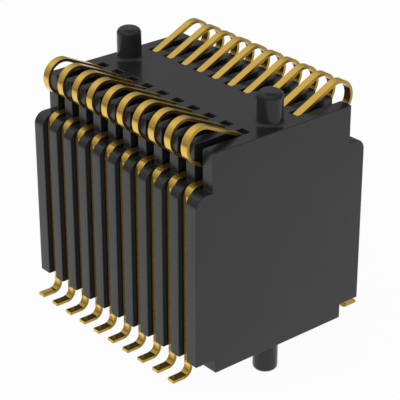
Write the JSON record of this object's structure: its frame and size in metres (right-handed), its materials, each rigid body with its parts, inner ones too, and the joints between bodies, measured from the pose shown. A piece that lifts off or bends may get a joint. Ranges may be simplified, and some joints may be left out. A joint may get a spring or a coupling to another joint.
{
  "type": "board to board connector",
  "caption": "Tall board to board connector: slotted black housing, alignment pins above and below, and facing rows of gold spring contacts with looped tips and solder feet.",
  "frame": {"origin": "centre of the footprint, in the plane of the board that the contact feet are soldered to", "axes": "+X along the rows of contacts, +Y across them towards the rear row, +Z from the board up to the mating side"},
  "size_m": [0.0108, 0.0102, 0.0126],
  "materials": {
    "housing_plastic": "black moulded plastic with a low sheen",
    "contact_metal": "gold plated strip, bright and smooth"
  },
  "bodies": {
    "root": {"housing": "housing_plastic", "front_contact_01": "contact_metal", "front_contact_02": "contact_metal", "front_contact_03": "contact_metal", "front_contact_04": "contact_metal", "front_contact_05": "contact_metal", "front_contact_06": "contact_metal", "front_contact_07": "contact_metal", "front_contact_08": "contact_metal", "front_contact_09": "contact_metal", "front_contact_10": "contact_metal", "rear_contact_01": "contact_metal", "rear_contact_02": "contact_metal", "rear_contact_03": "contact_metal", "rear_contact_04": "contact_metal", "rear_contact_05": "contact_metal", "rear_contact_06": "contact_metal", "rear_contact_07": "contact_metal", "rear_contact_08": "contact_metal", "rear_contact_09": "contact_metal", "rear_contact_10": "contact_metal"}
  },
  "joints": []
}
